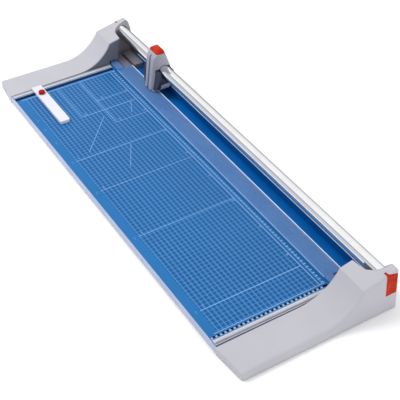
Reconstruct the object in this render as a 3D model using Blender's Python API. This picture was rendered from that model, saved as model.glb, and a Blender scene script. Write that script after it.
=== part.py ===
"""Rotary paper trimmer: a printed table, a round guide rail between two end covers, and a
sliding cutting head whose round blade rolls along a fixed lower knife.

Metres, +Z up. X runs along the cut, the user stands at -Y and the rail is at +Y. The origin is
the centre of the footprint, on the surface that the feet stand on.
"""

import math

import bmesh
import bpy
from mathutils import Matrix, Vector

# Overall sizes
LENGTH = 1.120
DEPTH = 0.360
COVER_WIDTH = 0.080
INNER_X = LENGTH / 2 - COVER_WIDTH
GAP = 0.0003
WALL = 0.003

# Levels above the surface that it stands on
COVER_BOTTOM = 0.0020
FLOOR_TOP = 0.0040
TABLE_TOP = 0.0180
TABLE_THICK = 0.0020

# Distances from the front edge of the trimmer
TABLE_FRONT = 0.0040
TABLE_REAR = 0.3009
GUIDE_REAR = 0.2712
CUT_LINE = 0.3208
RAIL_Y = 0.338
RAIL_Z = 0.0735
RAIL_RADIUS = 0.0145
RAIL_HALF_LENGTH = INNER_X + 0.0635

# End cover outline: flat front, concave sweep, sloping top
FRONT_HEIGHT = 0.0190
SWEEP_START = (0.185, 0.0210)
SWEEP_RADIUS = 0.103
SWEEP_ANGLE = math.radians(64)
TOP_SLOPE = 0.217
COVER_DRAFT = 0.74
CORNER_RADIUS = 0.0045
CORNER_DEPTH = 0.020
FRONT_SLANT = 0.0075
FRONT_SLANT_DEPTH = 0.060
FRAME_SET_BACK = 0.0010

# Recess in each end cover, where the head parks
RECESS_END = INNER_X + 0.0415
RECESS_WALL = 0.003
RECESS_FOOT_Y = 0.2975
RECESS_LEAN = 0.135
FUNNEL_FOOT_Z = 0.0770
FUNNEL_SHARE = 0.71
REAR_WALL_TOP = 0.0600
TOP_OPENING = ((0.3067, -0.001), (0.3105, 0.0310), (0.3150, 0.0388), (0.3213, 0.0455),
               (0.3310, 0.0513), (0.3420, 0.0546), (0.3530, 0.0562), (0.3630, 0.0567))
COVER_SCREWS = ((INNER_X + 0.041, 0.030), (INNER_X + 0.026, 0.262))

INSERT_FOLD = INNER_X + 0.0643
INSERT_FALL = 0.157
PLATE_THICK = 0.0040

# Side guides, measured inwards from the end covers
TABLE_SIDE = INNER_X - 0.0287
GROOVE_INNER = INNER_X - 0.0270
GROOVE_OUTER = INNER_X - 0.0183
GUIDE_TOP = 0.0215

# Lower knife and drop zone
KNIFE_HALF_LENGTH = INNER_X - 0.0365
KNIFE_BEAM_TOP = 0.0097
PAN_BOTTOM = 0.0025
PAN_SHEET = 0.0015
PAN_REAR = 0.3555
PAN_LIP_TOP = 0.0240

# Cutting head, at rest near the far end
HEAD_X = -0.324
HOUSING_RADIUS = 0.039
HOUSING_CENTRE_Z = 0.0585
HOUSING_BOTTOM = 0.0262
HOUSING_SHOULDER = 0.0775
NECK_HALF = 0.0165
NECK_TOP = 0.1060
CARRIAGE_REAR = 0.3560
PARK_SLOT_WIDTH = 0.0065
HEAD_REAR = 0.3580
HEAD_REAR_LEAN = 0.322
CAP_REAR = 0.3435
HEAD_SCREWS = (-0.010, 0.010)
HEAD_SCREW_Y = 0.3370
NOSE_FRONT = 0.3000
NOSE_LEAN = 0.14
NOSE_BROW_Z = 0.1080
NOSE_BROW = 38.0
NOSE_LEVELS = (0.1000, NOSE_BROW_Z, 0.1125, 0.1160, 0.1195)
NOSE_BOTTOM_HALF = 0.0133
NOSE_TOP_HALF = 0.0185
HEAD_HALF = 0.020
COVER_TOP_Z = 0.1210
CAP_TOP_Z = 0.1310
BLADE_RADIUS = 0.0225
BLADE_Z = 0.0360
BLADE_THICK = 0.0010

# Clamp strip
CLAMP_HALF_LENGTH = INNER_X - 0.040
CLAMP_FRONT = 0.2745
CLAMP_REAR = 0.3188
CLAMP_BOTTOM = 0.0196
SPRING_X = INNER_X + 0.010
SPRING_Y = 0.2860

# Backstop, which slides along the groove of the far side guide
STOP_Y = 0.068
STOP_WIDTH = 0.025
STOP_FAR_X = 0.0035 - INNER_X
STOP_NEAR_X = -0.306
STOP_TOP = 0.0262
KNOB_X = -0.441

COLOURS = {
    "cover_grey": ((0.62, 0.62, 0.66), 0.45, 0.0),
    "slate_plastic": ((0.075, 0.085, 0.10), 0.5, 0.0),
    "mid_grey_plastic": ((0.30, 0.30, 0.33), 0.5, 0.0),
    "table_blue": ((0.03, 0.16, 0.48), 0.35, 0.0),
    "pan_blue": ((0.01, 0.07, 0.30), 0.4, 0.1),
    "trim_grey": ((0.55, 0.57, 0.65), 0.4, 0.0),
    "steel": ((0.55, 0.56, 0.58), 0.3, 1.0),
    "aluminium": ((0.75, 0.76, 0.78), 0.35, 1.0),
    "chrome": ((0.85, 0.86, 0.88), 0.08, 1.0),
    "clamp_clear": ((0.20, 0.33, 0.62), 0.2, 0.0),
    "signal_orange": ((0.60, 0.04, 0.015), 0.35, 0.0),
    "knob_red": ((0.45, 0.01, 0.008), 0.3, 0.0),
    "stop_white": ((0.85, 0.84, 0.84), 0.4, 0.0),
    "nylon": ((0.55, 0.56, 0.62), 0.4, 0.0),
    "bronze": ((0.45, 0.30, 0.12), 0.4, 1.0),
    "rubber": ((0.02, 0.02, 0.02), 0.85, 0.0),
}


# ---------------------------------------------------------------- helpers

def front(distance):
    """Y of a point at this distance behind the front edge."""
    return distance - DEPTH / 2


def material(name):
    found = bpy.data.materials.get(name)
    if found:
        return found
    colour, roughness, metallic = COLOURS[name]
    made = bpy.data.materials.new(name)
    made.use_nodes = True
    shader = made.node_tree.nodes["Principled BSDF"]
    shader.inputs["Base Color"].default_value = (*colour, 1.0)
    shader.inputs["Roughness"].default_value = roughness
    shader.inputs["Metallic"].default_value = metallic
    return made


def place_of(obj):
    """World position of an object from its own and its parents' locations."""
    return obj.location + (place_of(obj.parent) if obj.parent else Vector())


def new_object(name, bm, finish=None, location=(0, 0, 0), parent=None):
    """An object from a bmesh in world coordinates, with its origin at location."""
    bmesh.ops.remove_doubles(bm, verts=bm.verts, dist=1e-6)
    bmesh.ops.recalc_face_normals(bm, faces=bm.faces)
    bm.transform(Matrix.Translation(-Vector(location)))
    mesh = bpy.data.meshes.new(name)
    bm.to_mesh(mesh)
    bm.free()
    obj = bpy.data.objects.new(name, mesh)
    bpy.context.scene.collection.objects.link(obj)
    if parent:
        obj.parent = parent
        obj.location = Vector(location) - place_of(parent)
    else:
        obj.location = location
    if finish:
        mesh.materials.append(material(finish))
    else:
        obj.hide_render = True
        obj.display_type = "WIRE"
    return obj


def smooth(obj, degrees=35):
    obj.data.shade_smooth()
    obj.data.set_sharp_from_angle(angle=math.radians(degrees))


def prism(outline, axis, low, high):
    """A bmesh of an outline extruded along an axis. The outline's pairs are (y, z) for X,
    (x, z) for Y and (x, y) for Z."""
    place = {"X": lambda p, t: (t, p[0], p[1]),
             "Y": lambda p, t: (p[0], t, p[1]),
             "Z": lambda p, t: (p[0], p[1], t)}[axis]
    bm = bmesh.new()
    rings = [[bm.verts.new(place(p, t)) for p in outline] for t in (low, high)]
    bm.faces.new(rings[0])
    bm.faces.new(rings[1])
    join_rings(bm, rings)
    return bm


def join_rings(bm, rings):
    for lower, upper in zip(rings, rings[1:]):
        for i in range(len(lower)):
            j = (i + 1) % len(lower)
            bm.faces.new((lower[i], lower[j], upper[j], upper[i]))


def loft(sections):
    """A closed form through loops of points."""
    bm = bmesh.new()
    rings = [[bm.verts.new(p) for p in section] for section in sections]
    bm.faces.new(rings[0])
    bm.faces.new(rings[-1])
    join_rings(bm, rings)
    return bm


def box(low, high):
    return prism(((low[0], low[1]), (high[0], low[1]), (high[0], high[1]), (low[0], high[1])),
                 "Z", low[2], high[2])


def circle(centre, radius, count, turn=0.0):
    return [(centre[0] + radius * math.cos(turn + 2 * math.pi * i / count),
             centre[1] + radius * math.sin(turn + 2 * math.pi * i / count)) for i in range(count)]


def arc(centre, radius, start, end, count):
    """Points on an arc from start to end, in degrees, both ends included."""
    angles = [math.radians(start + (end - start) * i / (count - 1)) for i in range(count)]
    return [(centre[0] + radius * math.cos(a), centre[1] + radius * math.sin(a)) for a in angles]


def cylinder(axis, centre, radius, low, high, count=32):
    return prism(circle(centre, radius, count), axis, low, high)


def turned(profile, axis, centre, count=32):
    """A solid or ring of revolution: the profile is a closed loop of (radius, position)."""
    bm = bmesh.new()
    rings = []
    for i in range(count):
        a = 2 * math.pi * i / count
        ring = []
        for radius, t in profile:
            u, v = centre[0] + radius * math.cos(a), centre[1] + radius * math.sin(a)
            spot = {"X": (t, u, v), "Y": (u, t, v), "Z": (u, v, t)}[axis]
            ring.append(bm.verts.new(spot))
        rings.append(ring)
    join_rings(bm, rings + rings[:1])
    return bm


def stacked_discs(steps, axis, centre, count=24):
    """A solid pin or screw: steps are (radius, position) along the axis, closed at both ends."""
    bm = bmesh.new()
    rings = []
    for radius, t in steps:
        ring = []
        for u, v in circle(centre, radius, count):
            ring.append(bm.verts.new({"X": (t, u, v), "Y": (u, t, v), "Z": (u, v, t)}[axis]))
        rings.append(ring)
    bm.faces.new(rings[0])
    bm.faces.new(rings[-1])
    join_rings(bm, rings)
    return bm


def mirrored(bm):
    """The same shape at the other end of the trimmer."""
    bm.transform(Matrix.Scale(-1, 4, Vector((1, 0, 0))))
    bmesh.ops.reverse_faces(bm, faces=bm.faces)
    return bm


def combine(obj, cutter, operation="DIFFERENCE"):
    """Applies one Boolean to an object and discards the cutter, a bmesh or an object."""
    if isinstance(cutter, bmesh.types.BMesh):
        cutter = new_object(obj.name + "_tool", cutter)
    step = obj.modifiers.new(operation.title(), "BOOLEAN")
    step.operation = operation
    step.solver = "EXACT"
    step.object = cutter
    bpy.context.view_layer.update()
    evaluated = obj.evaluated_get(bpy.context.evaluated_depsgraph_get())
    result = bpy.data.meshes.new_from_object(evaluated)
    obj.modifiers.remove(step)
    old = obj.data
    obj.data = result
    result.name = obj.name
    bpy.data.meshes.remove(old)
    bpy.data.objects.remove(cutter)


def coil(centre, radius, wire, low, high, turns, axis="Z", sides=6, per_turn=14):
    """A compression spring, as one closed tube along a helix."""
    steps = int(turns * per_turn)
    bm = bmesh.new()
    rings = []
    for i in range(steps + 1):
        a = 2 * math.pi * turns * i / steps
        t = low + wire + (high - low - 2 * wire) * i / steps
        ring = []
        for k in range(sides):
            b = 2 * math.pi * k / sides
            r = radius + wire * math.cos(b)
            u, v = centre[0] + r * math.cos(a), centre[1] + r * math.sin(a)
            w = t + wire * math.sin(b)
            ring.append(bm.verts.new((u, v, w) if axis == "Z" else (u, w, v)))
        rings.append(ring)
    bm.faces.new(rings[0])
    bm.faces.new(rings[-1])
    join_rings(bm, rings)
    return bm


# ---------------------------------------------------------------- end covers and frames

def top_height(y):
    """Height of the cover's top surface at a distance behind the front edge."""
    start_y, start_z = SWEEP_START
    end_y = start_y + SWEEP_RADIUS * math.sin(SWEEP_ANGLE)
    end_z = start_z + SWEEP_RADIUS * (1 - math.cos(SWEEP_ANGLE))
    if y <= start_y:
        return FRONT_HEIGHT + (start_z - FRONT_HEIGHT) * y / start_y
    if y <= end_y:
        return start_z + SWEEP_RADIUS * (1 - math.cos(math.asin((y - start_y) / SWEEP_RADIUS)))
    return end_z + TOP_SLOPE * (y - end_y)


def cover_outline(inset, bottom, rear=DEPTH, sweep_steps=8):
    """The cover's side outline as (distance behind the front, z), moved inwards by inset."""
    start_y, start_z = SWEEP_START
    end_y = start_y + SWEEP_RADIUS * math.sin(SWEEP_ANGLE)
    points = [(inset, bottom), (inset, FRONT_HEIGHT - 0.004 - inset * 0.85),
              (inset + 0.003, FRONT_HEIGHT - inset)]
    for i in range(sweep_steps):
        a = SWEEP_ANGLE * i / sweep_steps
        r = SWEEP_RADIUS + inset
        points.append((start_y + r * math.sin(a), start_z + SWEEP_RADIUS - r * math.cos(a)))
    crease_y = end_y + inset * 0.62
    points.append((crease_y, top_height(crease_y) - inset * 1.02))
    shoulder = rear - 0.006 - inset * 0.4
    points.append((shoulder, top_height(shoulder) - inset))
    points.append((rear - inset, top_height(rear) - 0.007 - inset))
    points.append((rear - inset, bottom))
    return points


def edge_radius(y):
    """Radius of the cover's outer edge: large beside the flat front, small on the sloping top."""
    if y < CORNER_DEPTH:
        return CORNER_RADIUS
    return 0.006 + 0.006 * min(1.0, max(0.0, (0.27 - y) / 0.07))


def front_set_back(x, y):
    """How far the cover's front lies back at a distance outside the inner face."""
    share = max(0.0, 1 - y / FRONT_SLANT_DEPTH)
    return FRONT_SLANT * share * max(0.0, x) / COVER_WIDTH


def cover_form(skin=0.0, start=0.0, bottom=COVER_BOTTOM):
    """The cover's closed outer form, or the form this far inside it."""
    base = cover_outline(skin, bottom)
    rings = []
    bm = bmesh.new()
    for degrees in (None, 0, 30, 60, 90):
        ring = []
        for i, (y, z) in enumerate(base):
            radius = edge_radius(y) - skin
            x = start
            if degrees is not None:
                turn = math.radians(degrees)
                x = COVER_WIDTH - skin - radius + radius * math.sin(turn)
                y, z = cover_outline(skin + radius * (1 - math.cos(turn)), bottom)[i]
            y += front_set_back(x, y)
            ring.append(bm.verts.new((INNER_X + x * (1 - COVER_DRAFT * z), front(y), z)))
        rings.append(ring)
    bm.faces.new(rings[0])
    bm.faces.new(rings[-1])
    join_rings(bm, rings)
    return bm


def recess_y(z):
    """Front limit of the parking recess at a height."""
    return RECESS_FOOT_Y + RECESS_LEAN * (z - TABLE_TOP)


def cover_hollow():
    """The hollow of the cover: its inner form less the two walls of the parking recess."""
    hollow = new_object("cover_hollow", cover_form(WALL, -0.001, -0.002))
    foot, head = recess_y(-0.004), recess_y(0.150)
    wall = [(front(foot), -0.004), (front(head), 0.150), (front(head - RECESS_WALL), 0.150),
            (front(foot - RECESS_WALL), -0.004)]
    combine(hollow, prism(wall, "X", INNER_X + 0.0058, LENGTH))
    behind = RECESS_END + RECESS_WALL
    end_wall = [(RECESS_END, -0.004), (behind, -0.004), (behind, FUNNEL_FOOT_Z),
                (behind + 0.0158, FUNNEL_FOOT_Z + 0.0192), (behind + 0.0158, 0.150),
                (RECESS_END, 0.150)]
    combine(hollow, prism(end_wall, "Y", front(RECESS_FOOT_Y - 0.004), front(0.40)))
    return hollow


def top_opening():
    """The hole in the cover's top round the rail, narrowing downwards like a funnel."""
    ceiling = 0.120
    low, high = [], []
    for y, x in TOP_OPENING:
        foot = x * FUNNEL_SHARE
        spread = (x - foot) * (ceiling - FUNNEL_FOOT_Z) / (top_height(y) - FUNNEL_FOOT_Z)
        low.append((INNER_X + foot, front(y), FUNNEL_FOOT_Z))
        high.append((INNER_X + foot + spread, front(y), ceiling))
    low.append((INNER_X - 0.001, front(0.363), FUNNEL_FOOT_Z))
    high.append((INNER_X - 0.001, front(0.363), ceiling))
    return loft([low, high])


def build_cover(side):
    """side is 1 for the near end (+X) and -1 for the far end (-X)."""
    label = "near" if side > 0 else "far"
    turn = (lambda bm: bm) if side > 0 else mirrored
    cover = new_object("end_cover_" + label, turn(cover_form()), "cover_grey")
    hollow = cover_hollow()
    if side < 0:
        for vert in hollow.data.vertices:
            vert.co.x = -vert.co.x
        hollow.data.flip_normals()
    combine(cover, hollow)
    outer_x = LENGTH / 2 - WALL
    combine(cover, turn(top_opening()))
    combine(cover, turn(box((INNER_X - 0.001, front(0.3540), REAR_WALL_TOP),
                            (RECESS_END - 0.0005, front(0.363), FUNNEL_FOOT_Z + 0.0005))))
    combine(cover, turn(box((INNER_X - 0.001, front(0.286), -0.002),
                            (outer_x - 0.001, front(0.3565), FLOOR_TOP + GAP))))
    hole = cylinder("X", (front(RAIL_Y), RAIL_Z), RAIL_RADIUS + 0.0005,
                    RECESS_END - 0.001, INSERT_FOLD - 0.0030)
    combine(cover, turn(hole))
    pocket = [(front(0.3305), 0.0400), (front(0.3560), 0.0400), (front(0.3560), 0.0881),
              (front(0.3305), 0.0921)]
    combine(cover, turn(prism(pocket, "X", INSERT_FOLD - GAP, LENGTH / 2 + 0.01)))
    for x, y in COVER_SCREWS:
        boss = cylinder("Z", (x, front(y)), 0.0042, FLOOR_TOP + GAP,
                        top_height(y - 0.0042) - 0.0015, 16)
        combine(cover, turn(boss), "UNION")
        combine(cover, turn(cylinder("Z", (x, front(y)), 0.0017, 0.0, 0.0135, 12)))
    smooth(cover)


def build_end_frame(side):
    """The dark inner wall of each end, with the floor that the covers and the rail stand on."""
    label = "near" if side > 0 else "far"
    turn = (lambda bm: bm) if side > 0 else mirrored
    inside = [(y + FRAME_SET_BACK if y < CORNER_DEPTH else y, z)
              for y, z in cover_outline(WALL + GAP, COVER_BOTTOM) if y < RECESS_FOOT_Y - 0.006]
    foot = recess_y(0.0)
    top_y = 0.3048
    outline = inside + [(top_y, top_height(top_y) - WALL - GAP), (foot, COVER_BOTTOM)]
    wall = prism([(front(y), z) for y, z in outline], "X", INNER_X + 0.0005, INNER_X + 0.0055)
    frame = new_object("end_frame_" + label, turn(wall), "slate_plastic")
    floor = box((INNER_X + 0.001, front(0.0125), COVER_BOTTOM),
                (INNER_X + 0.0735, front(0.3562), FLOOR_TOP))
    combine(frame, turn(floor), "UNION")
    slot = box((INNER_X - 0.001, front(0.2748), 0.0170), (INNER_X + 0.007, front(0.32), 0.0275))
    combine(frame, turn(slot))
    for x, y in COVER_SCREWS:
        combine(frame, turn(cylinder("Z", (x, front(y)), 0.0019, 0.0, 0.0060, 12)))


def build_cover_screws(side):
    label = "near" if side > 0 else "far"
    turn = (lambda bm: bm) if side > 0 else mirrored
    for place, (x, y) in zip(("front", "rear"), COVER_SCREWS):
        screw = stacked_discs(((0.0030, 0.0004), (0.0030, 0.0017), (0.0014, 0.0017),
                               (0.0014, 0.0125)), "Z", (x, front(y)), 12)
        smooth(new_object(f"cover_screw_{label}_{place}", turn(screw), "steel"))


def build_rail_end(side):
    """Bracket, plug, bolt, park block and coloured insert at one end of the rail."""
    label = "near" if side > 0 else "far"
    turn = (lambda bm: bm) if side > 0 else mirrored
    plate_x = RAIL_HALF_LENGTH + GAP
    outline = ((0.3150, FLOOR_TOP + GAP), (0.3150, 0.0600), (0.3240, 0.0800), (0.3500, 0.0835),
               (0.3545, 0.0800), (0.3545, FLOOR_TOP + GAP))
    plate = prism([(front(y), z) for y, z in outline], "X", plate_x, plate_x + PLATE_THICK)
    bracket = new_object("rail_bracket_" + label, turn(plate), "steel")
    foot = box((plate_x + 0.001, front(0.3150), FLOOR_TOP + GAP),
               (INNER_X + 0.0730, front(0.3545), FLOOR_TOP + 0.0043))
    combine(bracket, turn(foot), "UNION")
    centre = (front(RAIL_Y), RAIL_Z)
    combine(bracket, turn(cylinder("X", centre, 0.0043, plate_x - 0.01, plate_x + 0.02, 20)))

    inner = RAIL_HALF_LENGTH - 0.030
    plug = turned(((0.0043, inner), (0.0120, inner), (0.0122, inner + 0.001),
                   (0.0122, RAIL_HALF_LENGTH - GAP), (0.0043, RAIL_HALF_LENGTH - GAP)),
                  "X", centre, 24)
    smooth(new_object("rail_plug_" + label, turn(plug), "aluminium"))

    seat = plate_x + PLATE_THICK + GAP
    bolt = stacked_discs(((0.0040, RAIL_HALF_LENGTH - 0.022), (0.0040, seat), (0.0060, seat),
                          (0.0060, seat + 0.0032), (0.0055, seat + 0.0036)), "X", centre, 20)
    smooth(new_object("rail_bolt_" + label, turn(bolt), "steel"))

    block = new_object("park_block_" + label,
                       turn(box((KNIFE_HALF_LENGTH + 0.0005, front(0.3012), FLOOR_TOP + GAP),
                                (RECESS_END - 0.004, front(0.3530), TABLE_TOP))),
                       "mid_grey_plastic")
    slot = box((KNIFE_HALF_LENGTH - 0.001, front(CUT_LINE), 0.0085),
               (INNER_X + 0.0350, front(CUT_LINE + PARK_SLOT_WIDTH), TABLE_TOP + 0.001))
    combine(block, turn(slot))
    build_insert(side, turn)


def build_insert(side, turn):
    """A coloured clip that covers the rail bolt and folds over the cover's top edge."""
    label = "near" if side > 0 else "far"
    low_y, high_y = 0.3308, 0.3557

    def outer(z):
        return INNER_X + COVER_WIDTH * (1 - COVER_DRAFT * z)

    top = top_height(low_y) + 0.0008
    outline = [(outer(0.0403) - 0.0025, 0.0403), (outer(0.0403) + 0.0003, 0.0403),
               (outer(0.080) + 0.0006, 0.0800)]
    outline += [(outer(0.080) - 0.0055 + 0.0060 * math.cos(math.radians(a)),
                 top - 0.0058 + 0.0060 * math.sin(math.radians(a))) for a in (15, 45, 75)]
    outline += [(INSERT_FOLD, top), (INSERT_FOLD, top - 0.0022),
                (outer(0.080) - 0.0045, top - 0.0026),
                (outer(0.080) - 0.0025, top - 0.0060)]
    bm = prism(outline, "Y", front(low_y), front(high_y))
    for vert in bm.verts:
        if vert.co.z > 0.081:
            vert.co.z -= INSERT_FALL * (vert.co.y - front(low_y))
    smooth(new_object("rail_insert_" + label, turn(bm), "signal_orange"))


# ---------------------------------------------------------------- base and table

def build_table():
    half, wide = TABLE_SIDE, INNER_X - 0.0005
    outline = [(-half, TABLE_FRONT), (half, TABLE_FRONT), (half, GUIDE_REAR + GAP),
               (wide, GUIDE_REAR + GAP), (wide, TABLE_REAR), (-wide, TABLE_REAR),
               (-wide, GUIDE_REAR + GAP), (-half, GUIDE_REAR + GAP)]
    bm = prism([(x, front(y)) for x, y in outline], "Z", TABLE_TOP - TABLE_THICK, TABLE_TOP)
    new_object("table_panel", bm, "table_blue")

    edge = [(0.0006, 0.0050), (0.0006, 0.0168), (0.0016, 0.0179), (TABLE_FRONT - GAP, 0.0179),
            (TABLE_FRONT - GAP, 0.0050)]
    trim = prism([(front(y), z) for y, z in edge], "X", -wide, wide)
    new_object("front_trim", trim, "trim_grey")


def build_side_guide(side):
    """A light extrusion with a raised ruler strip and the dark groove beside it."""
    label = "near" if side > 0 else "far"
    turn = (lambda bm: bm) if side > 0 else mirrored
    inner, outer = TABLE_SIDE + 0.0005, INNER_X - 0.0007
    strip = outer - 0.0023
    groove_floor = 0.0125
    outline = ((inner, 0.0035), (outer, 0.0035), (outer, 0.0185), (strip, 0.0185),
               (strip, GUIDE_TOP - 0.0003), (strip - 0.0003, GUIDE_TOP),
               (GROOVE_OUTER + 0.0003, GUIDE_TOP), (GROOVE_OUTER, GUIDE_TOP - 0.0003),
               (GROOVE_OUTER, groove_floor), (GROOVE_INNER, groove_floor),
               (GROOVE_INNER, TABLE_TOP), (inner, TABLE_TOP))
    bar = prism(outline, "Y", front(TABLE_FRONT), front(GUIDE_REAR))
    guide = new_object("side_guide_" + label, turn(bar), "aluminium")
    hollow = box((inner + 0.0015, front(0.0), 0.0050), (outer - 0.0015, front(0.30), 0.0110))
    combine(guide, turn(hollow))


def build_beam(name, low_y, high_y, half_length):
    """A hollow rectangular steel beam along X, under the table."""
    top, sheet = TABLE_TOP - TABLE_THICK - GAP, 0.0015
    outer = box((-half_length, front(low_y), 0.0035), (half_length, front(high_y), top))
    beam = new_object(name, outer, "steel")
    combine(beam, box((-LENGTH, front(low_y + sheet), 0.0035 + sheet),
                      (LENGTH, front(high_y - sheet), top - sheet)))


def build_base():
    wide = INNER_X - 0.0005
    section = [(0.2970, PAN_BOTTOM), (PAN_REAR, PAN_BOTTOM), (PAN_REAR, PAN_LIP_TOP),
               (PAN_REAR - PAN_SHEET, PAN_LIP_TOP), (PAN_REAR - PAN_SHEET, PAN_BOTTOM + PAN_SHEET),
               (0.2970, PAN_BOTTOM + PAN_SHEET)]
    pan = prism([(front(y), z) for y, z in section], "X", -wide, wide)
    pan_object = new_object("drop_pan", pan, "pan_blue")

    beam = box((-KNIFE_HALF_LENGTH, front(0.3012), PAN_BOTTOM + PAN_SHEET + GAP),
               (KNIFE_HALF_LENGTH, front(0.3190), KNIFE_BEAM_TOP))
    beam_object = new_object("knife_beam", beam, "steel")

    section = [(0.3012, KNIFE_BEAM_TOP + GAP), (0.3190, KNIFE_BEAM_TOP + GAP),
               (CUT_LINE, 0.0145), (CUT_LINE, TABLE_TOP), (0.3012, TABLE_TOP)]
    knife = prism([(front(y), z) for y, z in section], "X", -KNIFE_HALF_LENGTH, KNIFE_HALF_LENGTH)
    knife_object = new_object("lower_knife", knife, "steel")

    for i, x in enumerate((-0.36, 0.0, 0.36)):
        spot = (x, front(0.3095))
        combine(pan_object, cylinder("Z", spot, 0.0040, 0.0, 0.0042, 12))
        combine(beam_object, cylinder("Z", spot, 0.0023, 0.0, 0.0120, 12))
        combine(knife_object, cylinder("Z", spot, 0.0023, 0.0, 0.0145, 12))
        screw = stacked_discs(((0.0036, 0.0018), (0.0036, 0.0040), (0.0020, 0.0040),
                               (0.0020, 0.0140)), "Z", spot, 12)
        smooth(new_object(f"knife_screw_{i + 1}", screw, "steel"))

    build_beam("front_beam", 0.0060, 0.0280, TABLE_SIDE)
    build_beam("middle_beam", 0.1400, 0.1620, TABLE_SIDE)
    build_beam("rear_beam", 0.2718, 0.2962, wide)


def build_feet():
    ends = [("far", -INNER_X - 0.041), ("near", INNER_X + 0.041)]
    for label, x in ends:
        for place, y in (("front", 0.045), ("rear", 0.325)):
            foot = stacked_discs(((0.0085, 0.0), (0.0095, 0.0008), (0.0095, 0.0017)), "Z",
                                 (x, front(y)), 20)
            smooth(new_object(f"foot_{label}_{place}", foot, "rubber"))
    for label, x in (("far", -0.17), ("near", 0.17)):
        foot = stacked_discs(((0.0085, 0.0), (0.0095, 0.0010), (0.0095, 0.0032)), "Z",
                             (x, front(0.151)), 20)
        smooth(new_object(f"foot_{label}_middle", foot, "rubber"))


# ---------------------------------------------------------------- rail, clamp and backstop

def build_rail():
    centre = (front(RAIL_Y), RAIL_Z)
    inner = RAIL_RADIUS - 0.002
    ends = (-RAIL_HALF_LENGTH, RAIL_HALF_LENGTH)
    tube = turned(((inner, ends[0]), (RAIL_RADIUS, ends[0]), (RAIL_RADIUS, ends[1]),
                   (inner, ends[1])), "X", centre, 48)
    smooth(new_object("guide_rail", tube, "chrome"))


def build_clamp():
    """The clear strip that holds the sheet along the cut, on a sprung carrier at each end."""
    middle = (0.0, front((CLAMP_FRONT + CLAMP_REAR) / 2), CLAMP_BOTTOM)
    section = [(CLAMP_FRONT, CLAMP_BOTTOM), (CLAMP_REAR, CLAMP_BOTTOM), (CLAMP_REAR, 0.0232),
               (0.3178, 0.0232), (0.3170, 0.0222), (0.2872, 0.0222), (0.2865, 0.0212),
               (CLAMP_FRONT, 0.0204)]
    strip = prism([(front(y), z) for y, z in section], "X", -CLAMP_HALF_LENGTH, CLAMP_HALF_LENGTH)
    strip_object = new_object("clamp_strip", strip, "clamp_clear", middle)
    for label, turn in (("near", lambda bm: bm), ("far", mirrored)):
        start = CLAMP_HALF_LENGTH + GAP
        outline = ((start, 0.2760), (INNER_X - 0.004, 0.2760), (INNER_X - 0.001, 0.2790),
                   (INNER_X + 0.0150, 0.2790), (INNER_X + 0.0150, 0.2930), (INNER_X - 0.001, 0.2930),
                   (INNER_X - 0.004, 0.2955), (start, 0.2955))
        carrier = prism([(x, front(y)) for x, y in outline], "Z", CLAMP_BOTTOM, 0.0226)
        new_object("clamp_carrier_" + label, turn(carrier), "slate_plastic", middle,
                   strip_object)
        spring = coil((SPRING_X, front(SPRING_Y)), 0.0034, 0.00045, FLOOR_TOP + GAP,
                      CLAMP_BOTTOM - GAP, 4.5)
        smooth(new_object("clamp_spring_" + label, turn(spring), "steel"))


def build_backstop():
    """A light bar across the table, with its clamp plate in the groove and its knob."""
    low_y, high_y = STOP_Y - STOP_WIDTH / 2, STOP_Y + STOP_WIDTH / 2
    origin = (KNOB_X, front(STOP_Y), TABLE_TOP)
    outline = [(STOP_FAR_X, low_y), (STOP_NEAR_X - 0.003, low_y), (STOP_NEAR_X, low_y + 0.003),
               (STOP_NEAR_X, high_y - 0.003), (STOP_NEAR_X - 0.003, high_y),
               (STOP_FAR_X, high_y)]
    bar = prism([(x, front(y)) for x, y in outline], "Z", 0.0188, STOP_TOP)
    bar_object = new_object("backstop_bar", bar, "stop_white", origin)
    combine(bar_object, box((STOP_FAR_X - 0.001, front(0.0), 0.0180),
                            (-GROOVE_INNER + 0.0010, front(0.15), GUIDE_TOP + 0.0004)))
    combine(bar_object, box((-GROOVE_INNER + 0.0005, front(low_y + 0.0022), 0.0180),
                            (STOP_NEAR_X - 0.0025, front(high_y - 0.0022), 0.0228)))
    combine(bar_object, cylinder("Z", (KNOB_X, front(STOP_Y)), 0.0029, 0.0, 0.05, 16))

    plate_low, plate_high = front(STOP_Y - 0.0098), front(STOP_Y + 0.0098)
    leg_outer, leg_inner = 0.0007 - GROOVE_OUTER, -0.0007 - GROOVE_INNER
    section = [(leg_outer, 0.0134), (leg_inner, 0.0134), (leg_inner, 0.0186), (-0.4310, 0.0186),
               (-0.4310, 0.0206), (leg_outer, 0.0206)]
    plate = prism(section, "Y", plate_low, plate_high)
    new_object("backstop_clamp_plate", plate, "steel", origin, bar_object)

    knob = stacked_discs(((0.0025, 0.0209), (0.0025, STOP_TOP + GAP), (0.0078, STOP_TOP + GAP),
                          (0.0080, 0.0275), (0.0080, 0.0315), (0.0073, 0.0328), (0.0055, 0.0334)),
                         "Z", (KNOB_X, front(STOP_Y)), 32)
    smooth(new_object("backstop_knob", knob, "knob_red", origin, bar_object))


# ---------------------------------------------------------------- cutting head

def housing_outline(clearance=0.0):
    """The carriage's XZ outline: a round housing cut flat below, with a square neck above."""
    radius = HOUSING_RADIUS + clearance
    low = HOUSING_BOTTOM - HOUSING_CENTRE_Z
    high = HOUSING_SHOULDER - HOUSING_CENTRE_Z
    start = math.degrees(math.asin(low / radius))
    end = math.degrees(math.asin(high / radius))
    neck, top = NECK_HALF + clearance, NECK_TOP + clearance
    right = arc((0.0, HOUSING_CENTRE_Z), radius, start, end, 9)
    right += [(neck, HOUSING_SHOULDER + clearance), (neck, top)]
    left = [(-x, z) for x, z in reversed(right)]
    return [(HEAD_X + x, z) for x, z in right + left]


def carriage_front(z):
    return 0.3060 + 0.194 * (z - HOUSING_BOTTOM)


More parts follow.
